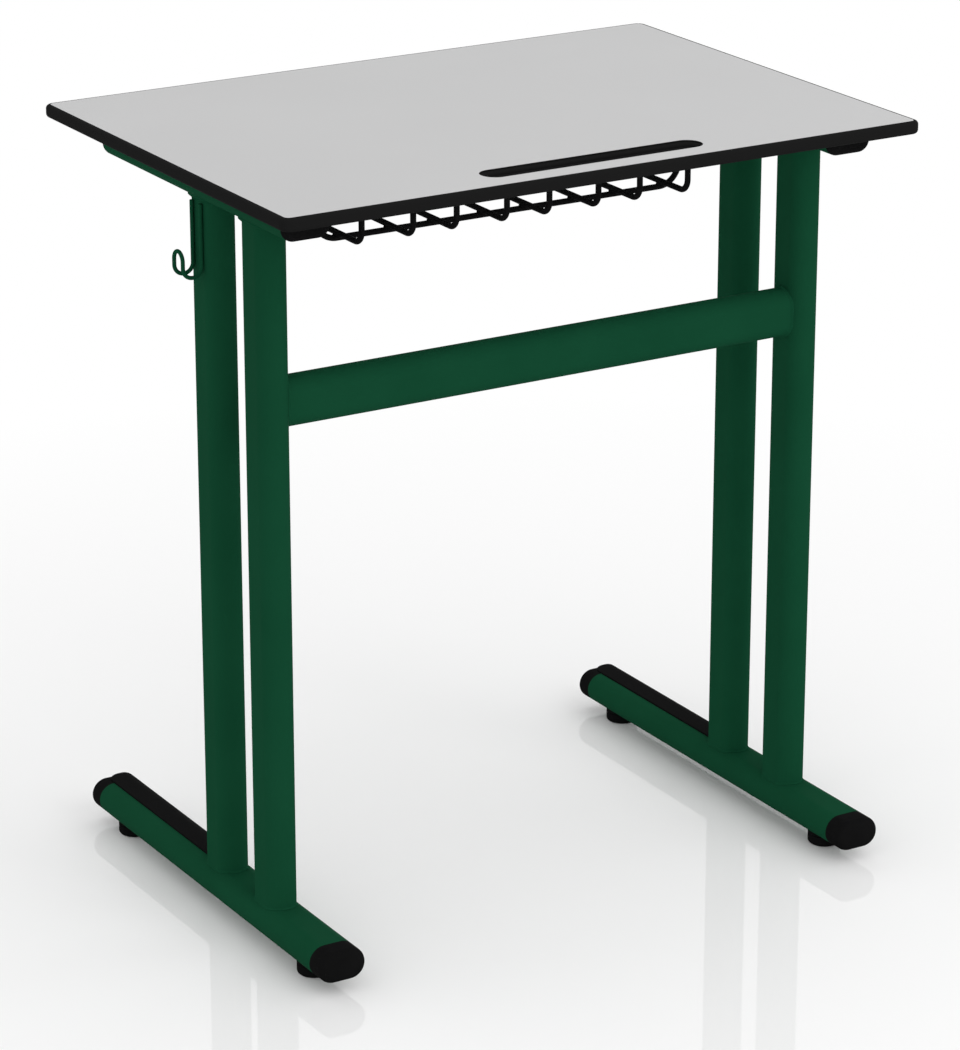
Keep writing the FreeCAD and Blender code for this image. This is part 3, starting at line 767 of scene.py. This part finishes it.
basketEyes = []  # middles of the right side's screw eyes
for place in places:
    node = f"basket_cross_wire_{place}"
    low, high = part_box(node)
    eyeX = high[0] - wireR - basket["eyeR"]
    uprightX = eyeX - basket["eyeReach"]
    y = low[1] + wireR
    basketEyes.append((eyeX, y + basket["eyeR"]))
    corners = [(uprightX, y, low[2] + wireR), (uprightX, y, hangerZ)] + eyeCorners(eyeX, y)
    radii = [basket["crossBendR"], basket["hangerBendR"]] + [basket["eyeR"]] * 3
    grids = [wireGrid(bothWays(corners, radii), basket["wire"])]
    grids += [weldDrop((x, y, z), basket["crossDrop"]) for x, z in floorWires]
    addPiece(f"{node}_wire", makeMesh(node, grids), blackCoat, [node])

node = "basket_back_wire"
low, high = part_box(node)
y = low[1] + wireR
eyeX = high[0] - wireR - basket["eyeR"]
basketEyes.append((eyeX, y + basket["eyeR"]))
grids = [wireGrid(bothWays(eyeCorners(eyeX, y), [basket["eyeR"]] * 3), basket["wire"])]
grids += [weldDrop((x, low[1], hangerZ), basket["backDrop"]) for x, _ in floorWires]
addPiece(f"{node}_wire", makeMesh(node, grids), blackCoat, [node])
print("basket done")

hook = {"wire": 0.0040, "legSpacing": 0.0178, "bendR": 0.00985, "tipRise": 0.0252}
low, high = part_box("bag_hook")
hookR = hook["wire"] / 2
tipR = hook["legSpacing"] / 2
wallX, tipX = high[0] - hookR, low[0] + hookR
middleY = (low[1] + high[1]) / 2
nearY, awayY = middleY + tipR, middleY - tipR
lowZ, highZ = low[2] + hookR, low[2] + hookR + hook["tipRise"]
corners = [(wallX, nearY, high[2]), (wallX, nearY, lowZ), (tipX, nearY, lowZ), (tipX, nearY, highZ),
           (tipX, awayY, highZ), (tipX, awayY, lowZ), (wallX, awayY, lowZ), (wallX, awayY, high[2])]
radii = [hook["bendR"], hook["bendR"], tipR, tipR, hook["bendR"], hook["bendR"]]
grid = wireGrid(bentPath(corners, radii), hook["wire"])
addPiece("bag_hook_wire", makeMesh("bag_hook", [grid]), greenCoat, ["bag_hook"])
print("bag hook done")


# Turned and moulded round parts

glide = {"columns": 96, "padR": 0.017, "edgeR": 0.0035, "rimR": 0.0010, "roundSteps": 12, "rimSteps": 6,
         "boreR": 0.00406, "headR": 0.008, "headRoom": 0.0004, "headPlay": 0.0001, "headZ": 0.004,
         "headHeight": 0.004, "barrelR": 0.007, "saddleEdge": 0.0005, "saddleRows": 8,
         "seam": 0.0003, "seamShare": 0.62}


# Pad: flat foot, rounded edge, side with a fine parting line, top rim, neck and the head's room
def padRings(height):
    padR, boreR, seam = glide["padR"], glide["boreR"], glide["seam"]
    edge = quarterRound(glide["edgeR"], glide["roundSteps"])
    rimRound = quarterRound(glide["rimR"], glide["rimSteps"])
    roomLow = glide["headZ"] - glide["headPlay"]
    roomHigh = glide["headZ"] + glide["headHeight"] + glide["headPlay"]
    roomR = glide["headR"] + glide["headRoom"]
    seamZ = height * glide["seamShare"]
    rings = [(0, 0)] + [(padR - inset, drop) for inset, drop in edge]
    rings += [(padR, seamZ - seam), (padR - seam / 2, seamZ), (padR, seamZ + seam)]
    rings += [(padR - inset, height - drop) for inset, drop in rimRound[::-1]]
    rings += [(boreR, height), (boreR, roomHigh), (roomR, roomHigh), (roomR, roomLow), (0, roomLow)]
    return rings


# Insert: saddle that follows the tube's underside, barrel above it, and the bore
def insertRings(low, high):
    turn = fullTurn(glide["columns"])
    padR, barrelR, boreR, edge = glide["padR"], glide["barrelR"], glide["boreR"], glide["saddleEdge"]

    def underTube(radius):
        return footZ - tubeSide(radius * np.cos(turn), footNarrow)

    rings = [(boreR, low), (padR - edge, low), (padR, low + edge)]
    rings += [(radius, underTube(radius)) for radius in np.linspace(padR, barrelR, glide["saddleRows"])]
    rings += [(barrelR, high - edge), (barrelR - edge, high), (boreR, high)]
    return rings


# Thread: a triangle wave that winds up from the start to the top, 0 on its crest and 1 in its root.
# Gives the levels of its rows and the wave at each of them over the turn.
def threadWave(turn, start, high, pitch, rowsPerTurn):
    levels = np.linspace(start, high, int((high - start) / pitch * rowsPerTurn))
    phase = (levels[:, None] / pitch - turn[None] / (2 * pi)) % 1
    return levels, 1 - np.abs(2 * phase - 1)


stud = {"r": 0.004, "pitch": 0.00125, "threadDepth": 0.0007, "columns": 48, "rowsPerTurn": 12,
        "point": 0.001, "pointShare": 0.8, "headEdge": 0.0006, "plainLength": 0.0015}


# Levelling screw: round head, then a thread that grows over its first turn and tapers at its point
def studGrid(x, y, low, high):
    headTop = low + glide["headHeight"]
    start = headTop + stud["plainLength"]
    headR, edge = glide["headR"], stud["headEdge"]
    levels, wave = threadWave(fullTurn(stud["columns"]), start, high, stud["pitch"], stud["rowsPerTurn"])
    ease = np.clip((levels - start) / stud["pitch"], 0, 1)[:, None]
    pointed = np.clip((levels - (high - stud["point"])) / stud["point"], 0, 1)[:, None]
    taper = pointed * stud["point"] * stud["pointShare"]
    radius = np.minimum(stud["r"] - stud["threadDepth"] * wave * ease, stud["r"] - taper)
    rings = [(0, low), (headR - edge, low), (headR, low + edge), (headR, headTop - edge),
             (headR - edge, headTop), (stud["r"], headTop), (stud["r"], start)]
    rings += [*zip(radius, levels), (0, high)]
    return ringsAbout(x, y, rings, stud["columns"], False)


for side in sides:
    for place in places:
        pad, insert, screw = [f"glide_{part}_{side}_{place}" for part in ("pad", "insert", "stud")]
        low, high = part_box(pad)
        x, y, _ = centreOf(pad)
        grid = ringsAbout(x, y, padRings(high[2]), glide["columns"], False)
        addPiece(f"{pad}_moulding", makeMesh(pad, [grid]), blackMoulded, [pad])
        low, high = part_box(insert)
        grid = ringsAbout(x, y, insertRings(low[2], high[2]), glide["columns"], True)
        addPiece(f"{insert}_moulding", makeMesh(insert, [grid]), blackMoulded, [insert])
        low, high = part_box(screw)
        addPiece(f"{screw}_screw", makeMesh(screw, [studGrid(x, y, low[2], high[2])]), zinc, [screw])
print("glides done")

screws = {"columns": 72, "socketSides": 6, "socketShare": 0.5, "depthShare": 0.6, "underEdge": 0.0003,
          "crownSteps": 8, "threadPitch": 0.0010, "threadDepth": 0.0005, "rowsPerTurn": 8, "clear": 0.0012}
basketScrew = {"r": 0.0025, "headR": 0.0080, "headHeight": 0.0035, "crownR": 0.0022}
bush = {"r": 0.0045, "boreR": 0.0031, "knurls": 24, "knurlDepth": 0.00025, "groove": 0.0008, "columns": 144}


# Pan-head screw seen from below: six-sided socket, face, crown round, head, and a threaded shank
def screwGrid(x, y, low, high, look):
    turn = fullTurn(screws["columns"])
    sector = 2 * pi / screws["socketSides"]
    flat = look["headR"] * screws["socketShare"] * cos(sector / 2)
    socket = flat / np.cos((turn + sector / 2) % sector - sector / 2)
    depth = low + look["headHeight"] * screws["depthShare"]
    crown = quarterRound(look["crownR"], screws["crownSteps"])
    top = low + look["headHeight"]
    start = top + screws["clear"]
    levels, wave = threadWave(turn, start, high, screws["threadPitch"], screws["rowsPerTurn"])
    rings = [(0, depth), (socket, depth), (socket, low)]
    rings += [(look["headR"] - inset, low + drop) for inset, drop in crown]
    rings += [(look["headR"], top - screws["underEdge"]), (look["headR"] - screws["underEdge"], top)]
    rings += [(look["r"], top), (look["r"], start)]
    rings += [*zip(look["r"] - screws["threadDepth"] * wave, levels), (0, high)]
    return ringsAbout(x, y, rings, screws["columns"], False)


# Turned bush: its outside is a cosine wave of knurls, with a plain groove round its middle, and its bore
def bushGrid(x, y, low, high):
    turn = fullTurn(bush["columns"])
    knurl = bush["r"] - bush["knurlDepth"] * (0.5 - 0.5 * np.cos(bush["knurls"] * turn))
    middle, half = (low + high) / 2, bush["groove"]
    plain = bush["r"] - bush["knurlDepth"]
    rings = [(bush["boreR"], low), (plain, low), (knurl, low + half / 2), (knurl, middle - half),
             (plain, middle - half / 2), (plain, middle + half / 2), (knurl, middle + half),
             (knurl, high - half / 2), (plain, high), (bush["boreR"], high)]
    return ringsAbout(x, y, rings, bush["columns"], True)


framePlaces = [(centreOf(f"top_rail_{side}")[0], y) for side in sides for y in railScrewYs]
basketPlaces = [(way * x, y) for x, y in basketEyes for way in (-1, 1)]
low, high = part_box("frame_screws")
grids = [screwGrid(x, y, low[2], high[2], frameScrew) for x, y in framePlaces]
addPiece("frame_screws_turned", makeMesh("frame_screws", grids), zinc, ["frame_screws"])
low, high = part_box("frame_screw_inserts")
grids = [bushGrid(x, y, low[2], high[2]) for x, y in framePlaces]
addPiece("frame_screw_inserts_turned", makeMesh("frame_screw_inserts", grids), brass,
         ["frame_screw_inserts"])
low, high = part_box("basket_screws")
grids = [screwGrid(x, y, low[2], high[2], basketScrew) for x, y in basketPlaces]
addPiece("basket_screws_turned", makeMesh("basket_screws", grids), zinc, ["basket_screws"])
print("screws done")


# Stage: a pale floor that fades to the white backdrop, soft light all round, and the camera

stage = {"floorSize": 14, "floorColour": 0.80, "floorRough": 0.6, "floorSpecular": 0.2, "nearWhite": 0.99,
         "fade": (0.3, 1.5), "glossShare": 0.115, "glossRough": 0.025, "skyStrength": 0.90, "skyWhite": 1.0}


def grey(level):
    return (level, level, level, 1)


# Mixes two shaders by a factor that is set or linked afterwards
def mixShaders(tree, first, second):
    mix = tree.nodes.new("ShaderNodeMixShader")
    tree.links.new(first, mix.inputs[1])
    tree.links.new(second, mix.inputs[2])
    return mix


# Floor: for the camera it is lit white near the desk and fades to plain white by distance;
# to the object it is a plain pale floor
def floorMaterial():
    material, tree, shader = newMaterial("paleFloor")
    new, link = tree.nodes.new, tree.links.new
    shader.inputs["Base Color"].default_value = grey(stage["floorColour"])
    shader.inputs["Roughness"].default_value = stage["floorRough"]
    shader.inputs["Specular IOR Level"].default_value = stage["floorSpecular"]
    lit = new("ShaderNodeBsdfDiffuse")
    lit.inputs["Color"].default_value = grey(stage["nearWhite"])
    gloss = new("ShaderNodeBsdfGlossy")
    gloss.inputs["Roughness"].default_value = stage["glossRough"]
    sheen = mixShaders(tree, lit.outputs["BSDF"], gloss.outputs["BSDF"])
    sheen.inputs["Fac"].default_value = stage["glossShare"]
    white = new("ShaderNodeEmission")
    white.inputs["Color"].default_value = grey(stage["skyWhite"])
    seen = mixShaders(tree, sheen.outputs["Shader"], white.outputs["Emission"])
    coordinates = new("ShaderNodeTexCoord")
    length = new("ShaderNodeVectorMath")
    length.operation = "LENGTH"
    link(coordinates.outputs["Object"], length.inputs[0])
    link(rangeNode(tree, length.outputs["Value"], stage["fade"], (0, 1)), seen.inputs["Fac"])
    final = mixShaders(tree, shader.outputs["BSDF"], seen.outputs["Shader"])
    link(new("ShaderNodeLightPath").outputs["Is Camera Ray"], final.inputs["Fac"])
    output = next(node for node in tree.nodes if node.type == "OUTPUT_MATERIAL")
    link(final.outputs["Shader"], output.inputs["Surface"])
    return material


# One square sheet, with its middle at the origin
def makeFloor():
    half = stage["floorSize"] / 2
    side = np.linspace(-half, half, 2)
    grid = np.stack(np.broadcast_arrays(side[:, None], side[None], 0.0), -1)
    mesh = bpy.data.meshes.new("floor")
    mesh.from_pydata(grid.reshape(-1, 3), [], [(0, 2, 3, 1)])
    floor = bpy.data.objects.new("floor", mesh)
    bpy.context.scene.collection.objects.link(floor)
    mesh.materials.append(floorMaterial())
    floor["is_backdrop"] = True


# Sky: an even soft light; the camera and reflections see it as the white backdrop
def makeSky():
    world = bpy.data.worlds.new("studio")
    bpy.context.scene.world = world
    world.use_nodes = True
    tree = world.node_tree
    tree.nodes.clear()
    new, link = tree.nodes.new, tree.links.new
    output = new("ShaderNodeOutputWorld")
    light, white = new("ShaderNodeBackground"), new("ShaderNodeBackground")
    light.inputs["Color"].default_value = grey(1)
    light.inputs["Strength"].default_value = stage["skyStrength"]
    white.inputs["Color"].default_value = grey(stage["skyWhite"])
    path = new("ShaderNodeLightPath")
    anyWhite = path.outputs["Is Camera Ray"]
    for name in ("Is Glossy Ray", "Is Transmission Ray"):
        most = new("ShaderNodeMath")
        most.operation = "MAXIMUM"
        link(anyWhite, most.inputs[0])
        link(path.outputs[name], most.inputs[1])
        anyWhite = most.outputs[0]
    mix = mixShaders(tree, light.outputs["Background"], white.outputs["Background"])
    link(anyWhite, mix.inputs["Fac"])
    link(mix.outputs["Shader"], output.inputs["Surface"])


# Camera: its place, its angles in radians, and its focal length in pixels of the photograph
cameraLook = {"place": (-2.02335, -3.38806, 1.75458), "yaw": 0.53863, "pitch": 0.34358,
              "focalPixels": 4155.5, "longSidePixels": 1050, "sensor": 36, "clip": (0.1, 50)}


def makeCamera():
    data = bpy.data.cameras.new("camera")
    camera = bpy.data.objects.new("camera", data)
    bpy.context.scene.collection.objects.link(camera)
    camera.location = cameraLook["place"]
    camera.rotation_euler = (pi / 2 - cameraLook["pitch"], 0, -cameraLook["yaw"])
    data.sensor_width = cameraLook["sensor"]
    data.lens = cameraLook["focalPixels"] / cameraLook["longSidePixels"] * cameraLook["sensor"]
    data.clip_start, data.clip_end = cameraLook["clip"]
    bpy.context.scene.camera = camera


lampTarget = (0, 0, 0.4)
lamps = [{"name": "keySoftbox", "place": (0.6, -2.8, 2.0), "size": 2.0, "power": 20},
         {"name": "fillSoftbox", "place": (2.4, -0.8, 1.6), "size": 1.6, "power": 3}]


# Lamps: square softboxes, each tilted up from straight down and turned to face the target
def makeLamps():
    for look in lamps:
        data = bpy.data.lights.new(look["name"], "AREA")
        data.shape, data.size, data.energy = "SQUARE", look["size"], look["power"]
        lamp = bpy.data.objects.new(look["name"], data)
        bpy.context.scene.collection.objects.link(lamp)
        way = np.array(lampTarget) - np.array(look["place"])
        lamp.location = look["place"]
        flat = np.hypot(way[0], way[1])
        lamp.rotation_euler = (atan(flat / -way[2]), 0, np.arctan2(way[1], way[0]) - pi / 2)
        lamp.visible_glossy = False  # or its square shows in the floor's gloss from behind


makeFloor()
makeSky()
makeLamps()
makeCamera()
bpy.context.scene.view_settings.view_transform = "Standard"
print("floor, sky, lamps and camera done")

low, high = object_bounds()
